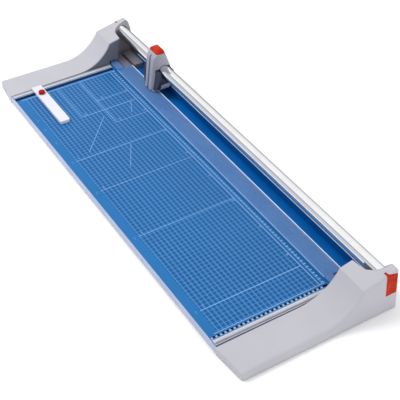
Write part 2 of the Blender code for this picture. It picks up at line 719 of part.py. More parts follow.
def head_rear(z, base=HEAD_REAR):
    """Rear limit of the head's parts at a height: upright below, leaning forward above."""
    return base - HEAD_REAR_LEAN * max(0.0, z - HOUSING_SHOULDER)


def lean_front(bm, low_y, front_at):
    """Moves the front verts of an upright prism onto a leaning plane."""
    for vert in bm.verts:
        if vert.co.y < front(low_y) + 1e-5:
            vert.co.y = front(front_at(vert.co.z))
    return bm


def build_carriage(parent):
    origin = parent.location
    solid = lean_front(prism(housing_outline(), "Y", front(0.30), front(CARRIAGE_REAR)), 0.30,
                       carriage_front)
    carriage = new_object("head_carriage", solid, "slate_plastic", origin, parent)
    ends = (HEAD_X - 0.05, HEAD_X + 0.05)
    above = 0.150
    behind_neck = [(front(CARRIAGE_REAR), HOUSING_SHOULDER), (front(0.40), HOUSING_SHOULDER),
                   (front(0.40), above), (front(head_rear(above, CARRIAGE_REAR)), above)]
    combine(carriage, prism(behind_neck, "X", *ends))
    combine(carriage, cylinder("X", (front(RAIL_Y), RAIL_Z), RAIL_RADIUS + 0.0021, *ends, 36))
    cavity = cylinder("Y", (HEAD_X, BLADE_Z), BLADE_RADIUS + 0.0011, front(0.3195),
                      front(0.3370), 36)
    combine(carriage, cavity)
    combine(carriage, cylinder("Y", (HEAD_X, BLADE_Z), 0.0028, front(0.3105), front(0.3490), 12))
    for x in HEAD_SCREWS:
        spot = (HEAD_X + x, front(HEAD_SCREW_Y))
        combine(carriage, cylinder("Z", spot, 0.0017, 0.0955, NECK_TOP + 0.01, 12))
    smooth(carriage, 25)


def nose_front(z):
    """Front limit of the head cover at a height: a slight lean, then a brow below the cap."""
    brow = NOSE_BROW * max(0.0, z - NOSE_BROW_Z) ** 2
    return NOSE_FRONT + NOSE_LEAN * (z - HOUSING_BOTTOM) + brow


def head_section(z, inset=0.0, rear=None):
    """Plan of the head cover at a height: a flat nose, flared cheeks and a square back."""
    share = (z - HOUSING_BOTTOM) / (COVER_TOP_Z - HOUSING_BOTTOM)
    nose = NOSE_BOTTOM_HALF + (NOSE_TOP_HALF - NOSE_BOTTOM_HALF) * share - inset
    half = HEAD_HALF - inset
    y = nose_front(z) + inset
    rear = (rear or head_rear(z)) - inset
    right = [(nose - 0.002, y), (nose, y + 0.0008), (half, y + 0.012), (half, rear - 0.003),
             (half - 0.003, rear)]
    left = [(-px, py) for px, py in reversed(right)]
    return [(HEAD_X + px, front(py), z) for px, py in right + left]


def build_head_cover(parent):
    origin = parent.location
    levels = (HOUSING_BOTTOM, 0.0520, HOUSING_SHOULDER, *NOSE_LEVELS)
    body = loft([head_section(z) for z in levels] + [head_section(COVER_TOP_Z, 0.0012)])
    cover = new_object("head_cover", body, "cover_grey", origin, parent)
    low = HOUSING_SHOULDER + GAP
    half = HOUSING_RADIUS + 0.005
    clearance = prism([(HEAD_X - half, 0.0), (HEAD_X + half, 0.0), (HEAD_X + half, low),
                       (HEAD_X - half, low)], "Y", front(0.30), front(0.40))
    combine(cover, lean_front(clearance, 0.30, lambda z: carriage_front(z) - GAP))
    neck, top = NECK_HALF + GAP, NECK_TOP + GAP
    pocket = [(front(carriage_front(0.0) - GAP), 0.0), (front(CARRIAGE_REAR + GAP), 0.0),
              (front(CARRIAGE_REAR + GAP), HOUSING_SHOULDER),
              (front(head_rear(top, CARRIAGE_REAR) + GAP), top),
              (front(carriage_front(top) - GAP), top)]
    combine(cover, prism(pocket, "X", HEAD_X - neck, HEAD_X + neck))
    combine(cover, cylinder("X", (front(RAIL_Y), RAIL_Z), RAIL_RADIUS + 0.0008,
                            HEAD_X - 0.05, HEAD_X + 0.05, 36))
    for x in HEAD_SCREWS:
        spot = (HEAD_X + x, front(HEAD_SCREW_Y))
        combine(cover, stacked_discs(((0.0017, 0.09), (0.0017, 0.1180), (0.0031, 0.1180),
                                      (0.0031, 0.13)), "Z", spot, 12))
    smooth(cover, 25)

    rims = [(COVER_TOP_Z + GAP, 0.0014), (0.1240, 0.0008), (0.1275, 0.0014), (0.1300, 0.0036),
            (CAP_TOP_Z, 0.0070)]
    flat = []
    for z, inset in rims:
        section = head_section(COVER_TOP_Z, inset, CAP_REAR)
        flat.append([(x, y, z) for x, y, _ in section])
    smooth(new_object("head_cap", loft(flat), "signal_orange", origin, parent), 40)

    for x, label in zip(HEAD_SCREWS, ("left", "right")):
        screw = stacked_discs(((0.0014, 0.0960), (0.0014, 0.1183), (0.0028, 0.1183),
                               (0.0028, 0.1203), (0.0022, 0.1209)), "Z",
                              (HEAD_X + x, front(HEAD_SCREW_Y)), 12)
        smooth(new_object("head_screw_" + label, screw, "steel", origin, parent))


def build_head_fittings(parent):
    origin = parent.location
    centre = (front(RAIL_Y), RAIL_Z)
    for label, low in (("left", -0.0160), ("right", 0.0040)):
        x = HEAD_X + low
        ring = turned(((RAIL_RADIUS + GAP, x), (RAIL_RADIUS + 0.0018, x),
                       (RAIL_RADIUS + 0.0018, x + 0.012), (RAIL_RADIUS + GAP, x + 0.012)),
                      "X", centre, 36)
        smooth(new_object("rail_bush_" + label, ring, "bronze", origin, parent))

    shoe = [(-0.0225, 0.3070), (-0.0190, 0.3040), (0.0190, 0.3040), (0.0225, 0.3070),
            (0.0225, 0.3188), (-0.0225, 0.3188)]
    plate = prism([(HEAD_X + x, front(y)) for x, y in shoe], "Z", 0.0240, HOUSING_BOTTOM - GAP)
    new_object("press_shoe", plate, "nylon", origin, parent)

    inner, outer = HOUSING_RADIUS + GAP, HOUSING_RADIUS + 0.0020
    for label, sign in (("left", -1), ("right", 1)):
        strip = arc((0.0, HOUSING_CENTRE_Z), outer, -52, -4, 9)
        strip += arc((0.0, HOUSING_CENTRE_Z), inner, -4, -52, 9)
        guard = prism([(HEAD_X + sign * x, z) for x, z in strip], "Y", front(0.3170),
                      front(0.3450))
        smooth(new_object("guard_rim_" + label, guard, "nylon", origin, parent))

    pin = stacked_discs(((0.0021, front(0.3110)), (0.0025, front(0.3114)),
                         (0.0025, front(0.3481)), (0.0021, front(0.3485))), "Y",
                        (HEAD_X, BLADE_Z), 12)
    smooth(new_object("blade_axle", pin, "steel", origin, parent))
    spring = coil((HEAD_X, BLADE_Z), 0.0042, 0.0004, front(0.3303), front(0.3367), 3.5, "Y")
    smooth(new_object("blade_spring", spring, "steel", origin, parent))


def build_blade(parent):
    """The round blade and its hub, centred on the axle."""
    origin = (HEAD_X, front(CUT_LINE), BLADE_Z)
    near, away = CUT_LINE + GAP, CUT_LINE + GAP + BLADE_THICK
    disc = turned(((0.0060, front(near)), (BLADE_RADIUS, front(near)),
                   (BLADE_RADIUS - 0.0018, front(away)), (0.0060, front(away))),
                  "Y", (HEAD_X, BLADE_Z), 48)
    blade = new_object("blade", disc, "steel", origin, parent)
    smooth(blade)
    hub = turned(((0.0028, front(0.3200)), (0.0057, front(0.3200)), (0.0057, front(away + GAP)),
                  (0.0090, front(away + GAP)), (0.0090, front(0.3270)), (0.0060, front(0.3300)),
                  (0.0028, front(0.3300))), "Y", (HEAD_X, BLADE_Z), 24)
    smooth(new_object("blade_hub", hub, "slate_plastic", origin, blade))


def build_head():
    slider = bpy.data.objects.new("head_slider", None)
    slider.location = (HEAD_X, front(RAIL_Y), RAIL_Z)
    bpy.context.scene.collection.objects.link(slider)
    build_carriage(slider)
    build_head_cover(slider)
    build_head_fittings(slider)
    build_blade(slider)


def main():
    for obj in list(bpy.data.objects):
        bpy.data.objects.remove(obj)
    build_table()
    build_base()
    build_feet()
    build_rail()
    for side in (-1, 1):
        build_cover(side)
        build_end_frame(side)
        build_cover_screws(side)
        build_rail_end(side)
        build_side_guide(side)
    build_clamp()
    build_backstop()
    build_head()


main()
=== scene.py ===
"""Looks of the rotary paper trimmer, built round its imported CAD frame. Metres, +Z up."""

import math

import bmesh
import bpy
from mathutils import Matrix, Vector


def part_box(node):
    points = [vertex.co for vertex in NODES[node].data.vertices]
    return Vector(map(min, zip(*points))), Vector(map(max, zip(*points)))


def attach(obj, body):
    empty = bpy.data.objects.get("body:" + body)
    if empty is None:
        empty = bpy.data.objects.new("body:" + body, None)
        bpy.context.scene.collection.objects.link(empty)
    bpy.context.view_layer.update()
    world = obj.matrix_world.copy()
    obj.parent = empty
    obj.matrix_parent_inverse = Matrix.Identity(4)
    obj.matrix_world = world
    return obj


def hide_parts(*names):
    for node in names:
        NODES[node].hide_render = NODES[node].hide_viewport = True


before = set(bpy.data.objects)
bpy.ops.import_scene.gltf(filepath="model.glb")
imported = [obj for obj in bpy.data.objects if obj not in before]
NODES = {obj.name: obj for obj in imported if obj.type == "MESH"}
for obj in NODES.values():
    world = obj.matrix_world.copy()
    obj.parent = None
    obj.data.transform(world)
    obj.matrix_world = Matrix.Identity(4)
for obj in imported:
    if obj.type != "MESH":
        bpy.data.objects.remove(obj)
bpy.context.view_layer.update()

LENGTH = 1.120
DEPTH = 0.360
COVER_WIDTH = 0.080
INNER_X = LENGTH / 2 - COVER_WIDTH
COVER_BOTTOM = 0.0020
WALL = 0.003
FRONT_HEIGHT = 0.0190
SWEEP_START = (0.185, 0.0210)
SWEEP_RADIUS = 0.103
SWEEP_ANGLE = math.radians(64)
TOP_SLOPE = 0.217
COVER_DRAFT = 0.74
CORNER_RADIUS = 0.0045
CORNER_DEPTH = 0.020
FRONT_SLANT = 0.0075
FRONT_SLANT_DEPTH = 0.060
RECESS_END = INNER_X + 0.0415
RECESS_WALL = 0.003
RECESS_FOOT_Y = 0.2975
RECESS_LEAN = 0.135
FUNNEL_FOOT_Z = 0.0770
FUNNEL_SHARE = 0.71
REAR_WALL_TOP = 0.0600
TABLE_TOP = 0.0180
RAIL_Y = 0.338
RAIL_Z = 0.0735
RAIL_RADIUS = 0.0145
RAIL_BORE = 0.0125
RAIL_END = INNER_X + 0.0635
RAIL_EASE = 0.0006
TOP_OPENING = ((0.3067, -0.001), (0.3105, 0.0310), (0.3150, 0.0388), (0.3213, 0.0455),
               (0.3310, 0.0513), (0.3420, 0.0546), (0.3530, 0.0562), (0.3630, 0.0567))
INSERT_FOLD = INNER_X + 0.0643
HEAD_X = -0.324
HEAD_HALF = 0.020
HOUSING_RADIUS = 0.039
HOUSING_CENTRE_Z = 0.0585
HOUSING_BOTTOM = 0.0262
HOUSING_SHOULDER = 0.0775
COVER_TOP_Z = 0.1210
HEAD_REAR = 0.3580
HEAD_REAR_LEAN = 0.322
CARRIAGE_REAR = 0.3560
CAP_REAR = 0.3437
NOSE_FOOT = 0.3000
NOSE_LEAN = 0.14
NOSE_BROW_Z = 0.1080
NOSE_BROW = 38.0
CARRIAGE_FOOT = 0.3060
CARRIAGE_LEAN = 0.194
NECK_HALF = 0.0165
NECK_TOP = 0.1060
GAP = 0.0003

# The print: where the rules count from, and the sheet sizes that the lines mark
RULE_ZERO_X = -0.4551
SCALE_LINE_Y = 0.2578
GRID_FRONT_Y = 0.0240
SHEET_SIZES = (105, 148, 210, 297, 420, 594, 841)
PRINT_LIFT = 0.00008
PRINT_HALF = 0.4490
GRID_STEP = 0.010
ROW_WIDTH = 0.0013
ROW_SHADOW_WIDTH = 0.0024
COLUMN_WIDTH = 0.0009
SHEET_LINE_FRONTS = (0.173, 0.112, 0.172, 0.025, 0.025, 0.025, 0.025)
SHEET_NUMBER_PLACES = (0.190, 0.124, 0.185, 0.036, 0.036, 0.036, 0.036)
DIAGONALS = (((-0.283, 0.158), (-0.174, 0.066)), ((-0.153, 0.162), (-0.077, 0.121)),
             ((-0.304, 0.242), (-0.262, 0.222)))
SCALE_FIELD_DEPTH = 0.0160

# Marks as (every so many millimetres, length, width). The scale's own marks are wider than real
# ones and stand off their line, so that they read as a row of dots from far away.
SCALE_MARK_GAP = 0.0058
SCALE_MARKS = ((10, 0.0064, 0.0030), (5, 0.0044, 0.0010), (1, 0.0022, 0.00014))
GUIDE_MARKS = ((10, 0.0056, 0.00045), (5, 0.0042, 0.00045), (1, 0.0026, 0.00028))

# The side guides: their length, levels and the lines along them
GUIDE_FRONT = 0.0040
GUIDE_REAR = 0.2712
GUIDE_BOTTOM = 0.0035
GUIDE_STEP = 0.0185
GUIDE_TOP = 0.0215
GUIDE_RULE_BASE = 0.0197
GROOVE_FLOOR = 0.0125
NEAR_RIB_TOP = 0.0172
# Columns: part, finish, inset, width, level, rise, slot. The gap line is a painted shadow gap
# between the rule and the cover, and the shade line is painted shade from the cover on the rule.
GUIDE_LINES = (("gap_shadow", "slate", 0.00185, 0.0021, GUIDE_STEP, 1.0, "slate_plastic"),
               ("shade", "mid", 0.0060, 0.0046, GUIDE_TOP, 0.4, "aluminium"),
               ("band", "band", 0.0166, 0.0028, GUIDE_TOP, 0.4, "aluminium"),
               ("edge", "line", 0.0276, 0.0010, TABLE_TOP, 1.0, "table_blue"))


# ---------------------------------------------------------------- materials

class Nodes:
    """A small helper for wiring a material's nodes."""

    def __init__(self, name):
        self.material = bpy.data.materials.new(name)
        self.material.use_nodes = True
        self.tree = self.material.node_tree
        self.shader = self.tree.nodes["Principled BSDF"]

    def add(self, kind, **values):
        node = self.tree.nodes.new(kind)
        for key, value in values.items():
            if key in node.inputs:
                node.inputs[key].default_value = value
            else:
                setattr(node, key, value)
        return node

    def link(self, out_socket, in_socket):
        self.tree.links.new(out_socket, in_socket)


def stretched(nodes, stretch):
    """Object coordinates, scaled along each axis."""
    coordinate = nodes.add("ShaderNodeTexCoord")
    mapping = nodes.add("ShaderNodeMapping")
    mapping.inputs["Scale"].default_value = stretch
    nodes.link(coordinate.outputs["Object"], mapping.inputs["Vector"])
    return mapping.outputs["Vector"]


def noise(nodes, vector, scale, detail=3.0, roughness=0.55):
    texture = nodes.add("ShaderNodeTexNoise")
    texture.inputs["Scale"].default_value = scale
    texture.inputs["Detail"].default_value = detail
    texture.inputs["Roughness"].default_value = roughness
    nodes.link(vector, texture.inputs["Vector"])
    return texture.outputs["Fac"]


def surface(name, colour, shade, roughness, metallic=0.0, spread=0.06, patch=18.0,
            grain=900.0, relief=0.06, depth=0.0002, stretch=(1, 1, 1), coat=0.0, gloss=0.3):
    """A material whose colour drifts between two tones, with uneven gloss and a fine relief."""
    nodes = Nodes(name)
    vector = stretched(nodes, (1, 1, 1))
    drift = noise(nodes, vector, patch)
    ramp = nodes.add("ShaderNodeValToRGB")
    ramp.color_ramp.elements[0].position = 0.35
    ramp.color_ramp.elements[1].position = 0.65
    ramp.color_ramp.elements[0].color = (*colour, 1)
    ramp.color_ramp.elements[1].color = (*shade, 1)
    nodes.link(drift, ramp.inputs["Fac"])
    nodes.link(ramp.outputs["Color"], nodes.shader.inputs["Base Color"])
    fine = noise(nodes, stretched(nodes, stretch), grain, 2.0)
    spreader = nodes.add("ShaderNodeMapRange")
    spreader.inputs["From Min"].default_value = 0.3
    spreader.inputs["From Max"].default_value = 0.7
    spreader.inputs["To Min"].default_value = roughness - spread
    spreader.inputs["To Max"].default_value = roughness + spread
    mixed = nodes.add("ShaderNodeMath")
    mixed.operation = "MULTIPLY_ADD"
    mixed.inputs[1].default_value = 0.5
    nodes.link(drift, mixed.inputs[0])
    half = nodes.add("ShaderNodeMath")
    half.operation = "MULTIPLY"
    half.inputs[1].default_value = 0.5
    nodes.link(fine, half.inputs[0])
    nodes.link(half.outputs[0], mixed.inputs[2])
    nodes.link(mixed.outputs[0], spreader.inputs["Value"])
    nodes.link(spreader.outputs["Result"], nodes.shader.inputs["Roughness"])
    bump = nodes.add("ShaderNodeBump")
    bump.inputs["Strength"].default_value = relief
    bump.inputs["Distance"].default_value = depth
    nodes.link(fine, bump.inputs["Height"])
    nodes.link(bump.outputs["Normal"], nodes.shader.inputs["Normal"])
    nodes.shader.inputs["Metallic"].default_value = metallic
    nodes.shader.inputs["Specular IOR Level"].default_value = gloss
    nodes.shader.inputs["Coat Weight"].default_value = coat
    nodes.shader.inputs["Coat Roughness"].default_value = 0.12
    return nodes


def make_materials():
    """The finishes, by name."""
    made = {
        "cover": surface("moulded_light_grey", (0.452, 0.449, 0.490), (0.428, 0.425, 0.466), 0.42,
                         patch=9, grain=1500, relief=0.10),
        # Darker grey for the faces inside the cover's rail recess: painted shade in the recess,
        # on the same moulding as the light grey.
        "recess_shade": surface("recess_painted_shade_grey", (0.25, 0.246, 0.265), (0.22, 0.216, 0.235), 0.5,
                        patch=30, grain=1400, relief=0.12),
        "head": surface("moulded_head_grey", (0.36, 0.358, 0.405), (0.335, 0.333, 0.38), 0.40,
                        patch=25, grain=1500, relief=0.10),
        "slate": surface("moulded_dark_slate", (0.135, 0.140, 0.165), (0.155, 0.160, 0.185), 0.50,
                         patch=25, grain=1300, relief=0.22),
        "dark": surface("moulded_black_slate", (0.033, 0.040, 0.062), (0.043, 0.051, 0.076),
                        0.46, patch=40, grain=1300, relief=0.2),
        "mid": surface("moulded_mid_grey", (0.17, 0.168, 0.195), (0.20, 0.198, 0.225), 0.48,
                       patch=30, grain=1300, relief=0.18),
        "table": surface("table_blue_enamel", (0.008, 0.128, 0.350), (0.011, 0.140, 0.378), 0.42,
                         patch=7, grain=700, relief=0.035, gloss=0.22),
        "field": surface("table_blue_field", (0.003, 0.096, 0.290), (0.005, 0.106, 0.315), 0.42,
                         patch=7, grain=700, relief=0.035, gloss=0.22),
        "pan": surface("pan_blue_enamel", (0.001, 0.098, 0.35), (0.002, 0.11, 0.38), 0.58,
                       patch=9, grain=700, relief=0.02, gloss=0.05),
        "trim": surface("trim_lavender_grey", (0.40, 0.45, 0.60), (0.36, 0.41, 0.56), 0.38,
                        patch=20, grain=1200, relief=0.08),
        "steel": surface("ground_steel", (0.42, 0.43, 0.45), (0.50, 0.51, 0.53), 0.30, 1.0,
                         patch=30, grain=900, relief=0.10, stretch=(0.04, 1, 1)),
        "plated": surface("zinc_plated_steel", (0.45, 0.46, 0.47), (0.58, 0.59, 0.60), 0.36, 1.0,
                          patch=120, grain=1500, relief=0.08),
        "aluminium": surface("anodised_aluminium", (0.62, 0.62, 0.68), (0.56, 0.56, 0.62), 0.40,
                             0.35, patch=14, grain=1400, relief=0.10, stretch=(1, 0.03, 1)),
        "rule": surface("rule_pale_aluminium", (0.58, 0.61, 0.68), (0.52, 0.55, 0.62), 0.38,
                        0.2, patch=14, grain=1400, relief=0.10, stretch=(1, 0.03, 1)),
        "chrome": surface("polished_chrome", (0.95, 0.955, 0.965), (0.91, 0.915, 0.93), 0.13, 1.0,
                          spread=0.03, patch=16, grain=300, relief=0.0004,
                          stretch=(0.02, 1, 1)),
        "orange": surface("gloss_red_orange", (0.54, 0.036, 0.010), (0.38, 0.014, 0.004), 0.26,
                          spread=0.05, patch=60, grain=900, relief=0.03, gloss=0.06),
        "red": surface("gloss_red", (0.36, 0.006, 0.005), (0.29, 0.004, 0.003), 0.24,
                       spread=0.05, patch=90, grain=900, relief=0.03, gloss=0.08),
        "carrier": surface("carrier_smoky_blue", (0.075, 0.155, 0.37), (0.09, 0.175, 0.40), 0.4,
                           patch=40, grain=1200, relief=0.08, gloss=0.25),
        "white": surface("moulded_white", (0.66, 0.66, 0.715), (0.625, 0.625, 0.68), 0.40,
                         patch=20, grain=1400, relief=0.07),
        "nylon": surface("moulded_nylon", (0.40, 0.40, 0.50), (0.34, 0.34, 0.43), 0.42,
                         patch=40, grain=1400, relief=0.10),
        "bronze": surface("bearing_bronze", (0.42, 0.27, 0.11), (0.50, 0.33, 0.14), 0.38, 1.0,
                          patch=90, grain=1200, relief=0.1),
        "rubber": surface("black_rubber", (0.018, 0.018, 0.018), (0.03, 0.03, 0.03), 0.85,
                          patch=80, grain=1100, relief=0.3),
        "dusk": surface("print_dusk_blue", (0.002, 0.056, 0.205), (0.003, 0.064, 0.225), 0.42,
                        patch=20, grain=900, relief=0.04),
        "groove": surface("guide_groove_blue", (0.010, 0.060, 0.19), (0.014, 0.070, 0.22), 0.45,
                          patch=20, grain=900, relief=0.05),
        "band": surface("guide_band_blue_grey", (0.15, 0.21, 0.33), (0.12, 0.18, 0.30), 0.42,
                        patch=20, grain=900, relief=0.05),
        "line": surface("print_light_blue", (0.075, 0.265, 0.55), (0.062, 0.245, 0.52), 0.42,
                        patch=20, grain=900, relief=0.04),
        # Pale blue for the print, and also the painted highlight on the clamp strip's front edge.
        "bold": surface("print_and_edge_highlight_blue", (0.22, 0.43, 0.74), (0.19, 0.39, 0.70), 0.42,
                        patch=20, grain=900, relief=0.04),
        # Near-white used only for painted highlights: the pan's rear lip and the clamp strip's
        # rear edge.
        "painted_highlight": surface("painted_highlight_white", (0.70, 0.80, 0.92), (0.64, 0.75, 0.88), 0.40,
                        patch=20, grain=900, relief=0.04),
    }
    clear = surface("clear_acrylic", (0.125, 0.27, 0.57), (0.105, 0.245, 0.54), 0.30, spread=0.04,
                    patch=12, grain=400, relief=0.004, gloss=0.25)
    clear.shader.inputs["Alpha"].default_value = 0.50
    made["clear"] = clear
    made["chrome"].shader.inputs["Specular Tint"].default_value = (0.06, 0.06, 0.08, 1)
    return {key: nodes.material for key, nodes in made.items()}


MAT = make_materials()


# ---------------------------------------------------------------- mesh helpers

def front(distance):
    return distance - DEPTH / 2


def new_object(name, bm, finish=None):
    bmesh.ops.remove_doubles(bm, verts=bm.verts, dist=1e-6)
    bmesh.ops.recalc_face_normals(bm, faces=bm.faces)
    mesh = bpy.data.meshes.new(name)
    bm.to_mesh(mesh)
    bm.free()
    obj = bpy.data.objects.new(name, mesh)
    bpy.context.scene.collection.objects.link(obj)
    if finish:
        mesh.materials.append(MAT[finish])
    return obj


def join_rings(bm, rings):
    for lower, upper in zip(rings, rings[1:]):
        for i in range(len(lower)):
            j = (i + 1) % len(lower)
            bm.faces.new((lower[i], lower[j], upper[j], upper[i]))


def loft(sections):
    bm = bmesh.new()
    rings = [[bm.verts.new(p) for p in section] for section in sections]
    bm.faces.new(rings[0])
    bm.faces.new(rings[-1])
    join_rings(bm, rings)
    return bm


def prism(outline, axis, low, high):
    place = {"X": lambda p, t: (t, p[0], p[1]),
             "Y": lambda p, t: (p[0], t, p[1]),
             "Z": lambda p, t: (p[0], p[1], t)}[axis]
    return loft([[place(p, t) for p in outline] for t in (low, high)])


def box(low, high):
    return prism(((low[0], low[1]), (high[0], low[1]), (high[0], high[1]), (low[0], high[1])),
                 "Z", low[2], high[2])


def circle(centre, radius, count):
    return [(centre[0] + radius * math.cos(2 * math.pi * i / count),
             centre[1] + radius * math.sin(2 * math.pi * i / count)) for i in range(count)]


def arc(centre, radius, start, end, count):
    angles = [math.radians(start + (end - start) * i / (count - 1)) for i in range(count)]
    return [(centre[0] + radius * math.cos(a), centre[1] + radius * math.sin(a)) for a in angles]


def cylinder(axis, centre, radius, low, high, count=64):
    return prism(circle(centre, radius, count), axis, low, high)


def turned(profile, axis, centre, count=96):
    """A ring of revolution: the profile is a closed loop of (radius, position)."""
    place = {"X": lambda u, v, t: (t, u, v), "Y": lambda u, v, t: (u, t, v),
             "Z": lambda u, v, t: (u, v, t)}[axis]
    bm = bmesh.new()
    rings = []
    for i in range(count):
        a = 2 * math.pi * i / count
        rings.append([bm.verts.new(place(centre[0] + r * math.cos(a),
                                         centre[1] + r * math.sin(a), t)) for r, t in profile])
    join_rings(bm, rings + rings[:1])
    return bm


def combine(obj, cutter, operation="DIFFERENCE"):
    """Applies one exact Boolean and discards the cutter, a bmesh or an object."""
    if isinstance(cutter, bmesh.types.BMesh):
        cutter = new_object(obj.name + "_tool", cutter)
    step = obj.modifiers.new(operation.title(), "BOOLEAN")
    step.operation = operation
    step.solver = "EXACT"
    step.object = cutter
    bpy.context.view_layer.update()
    evaluated = obj.evaluated_get(bpy.context.evaluated_depsgraph_get())
    result = bpy.data.meshes.new_from_object(evaluated)
    obj.modifiers.remove(step)
    old = obj.data
    obj.data = result
    result.name = obj.name
    bpy.data.meshes.remove(old)
    bpy.data.objects.remove(cutter)


def eased(obj, width=0.0006, segments=2, degrees=40):
    """Rounds an object's sharp edges and shades it smooth between them."""
    bevel = obj.modifiers.new("Eased edges", "BEVEL")
    bevel.width = width
    bevel.segments = segments
    bevel.limit_method = "ANGLE"
    bevel.angle_limit = math.radians(degrees)
    bevel.use_clamp_overlap = True
    bevel.harden_normals = True
    obj.data.shade_smooth()
    obj.data.set_sharp_from_angle(angle=math.radians(degrees))


def mirrored(bm):
    bm.transform(Matrix.Scale(-1, 4, Vector((1, 0, 0))))
    bmesh.ops.reverse_faces(bm, faces=bm.faces)
    return bm


# ---------------------------------------------------------------- end covers

def top_height(y):
    start_y, start_z = SWEEP_START
    end_y = start_y + SWEEP_RADIUS * math.sin(SWEEP_ANGLE)
    end_z = start_z + SWEEP_RADIUS * (1 - math.cos(SWEEP_ANGLE))
    if y <= start_y:
        return FRONT_HEIGHT + (start_z - FRONT_HEIGHT) * y / start_y
    if y <= end_y:
        return start_z + SWEEP_RADIUS * (1 - math.cos(math.asin((y - start_y) / SWEEP_RADIUS)))
    return end_z + TOP_SLOPE * (y - end_y)


def cover_outline(inset, bottom, sweep_steps=20):
    """The cover's side outline as (distance behind the front, z), moved inwards by inset."""
    start_y, start_z = SWEEP_START
    end_y = start_y + SWEEP_RADIUS * math.sin(SWEEP_ANGLE)
    points = [(inset, bottom), (inset, FRONT_HEIGHT - 0.004 - inset * 0.85)]
    for degrees in (20, 45, 70):
        turn = math.radians(degrees)
        points.append((inset + 0.003 * (1 - math.cos(turn)),
                       FRONT_HEIGHT - inset - 0.004 + 0.004 * math.sin(turn)))
    points.append((inset + 0.003, FRONT_HEIGHT - inset))
    for i in range(sweep_steps):
        a = SWEEP_ANGLE * i / sweep_steps
        r = SWEEP_RADIUS + inset
        points.append((start_y + r * math.sin(a), start_z + SWEEP_RADIUS - r * math.cos(a)))
    crease_y = end_y + inset * 0.62
    for offset in (-0.0010, 0.0, 0.0010):
        y = crease_y + offset
        points.append((y, top_height(y) - inset * 1.02 - (0.0003 if offset == 0 else 0)))
    shoulder = DEPTH - 0.007 - inset * 0.4
    drop = top_height(DEPTH) - 0.008 - inset
    for degrees in (90, 65, 40, 20, 0):
        turn = math.radians(degrees)
        points.append((shoulder + (DEPTH - inset - shoulder) * math.cos(turn),
                       drop + (top_height(shoulder) - inset - drop) * math.sin(turn)))
    points.append((DEPTH - inset, bottom))
    return points


def edge_radius(y):
    """Radius of the cover's outer edge: large beside the flat front, small on the sloping top."""
    if y < CORNER_DEPTH:
        return CORNER_RADIUS
    share = min(1.0, max(0.0, (0.272 - y) / 0.085))
    return 0.0055 + 0.0065 * share * share * (3 - 2 * share)


def cover_form(skin=0.0, start=0.0, bottom=COVER_BOTTOM, steps=9):
    base = cover_outline(skin, bottom)
    sections = []
    turns = [None] + [math.pi / 2 * i / steps for i in range(steps + 1)]
    for turn in turns:
        section = []
        for i, (y, z) in enumerate(base):
            radius = edge_radius(y) - skin
            x = start
            if turn is not None:
                x = COVER_WIDTH - skin - radius + radius * math.sin(turn)
                y, z = cover_outline(skin + radius * (1 - math.cos(turn)), bottom)[i]
            share = max(0.0, 1 - y / FRONT_SLANT_DEPTH)
            y += FRONT_SLANT * share * max(0.0, x) / COVER_WIDTH
            section.append((INNER_X + x * (1 - COVER_DRAFT * z), front(y), z))
        sections.append(section)
    return loft(sections)


def recess_y(z):
    return RECESS_FOOT_Y + RECESS_LEAN * (z - TABLE_TOP)


def top_opening():
    """The hole in the cover's top round the rail, narrowing downwards like a funnel."""
    ceiling = 0.120
    low, high = [], []
    for y, x in smoothed(TOP_OPENING, 4):
        foot = x * FUNNEL_SHARE
        spread = (x - foot) * (ceiling - FUNNEL_FOOT_Z) / (top_height(y) - FUNNEL_FOOT_Z)
        low.append((INNER_X + foot, front(y), FUNNEL_FOOT_Z))
        high.append((INNER_X + foot + spread, front(y), ceiling))
    low.append((INNER_X - 0.001, front(0.363), FUNNEL_FOOT_Z))
    high.append((INNER_X - 0.001, front(0.363), ceiling))
    return loft([low, high])


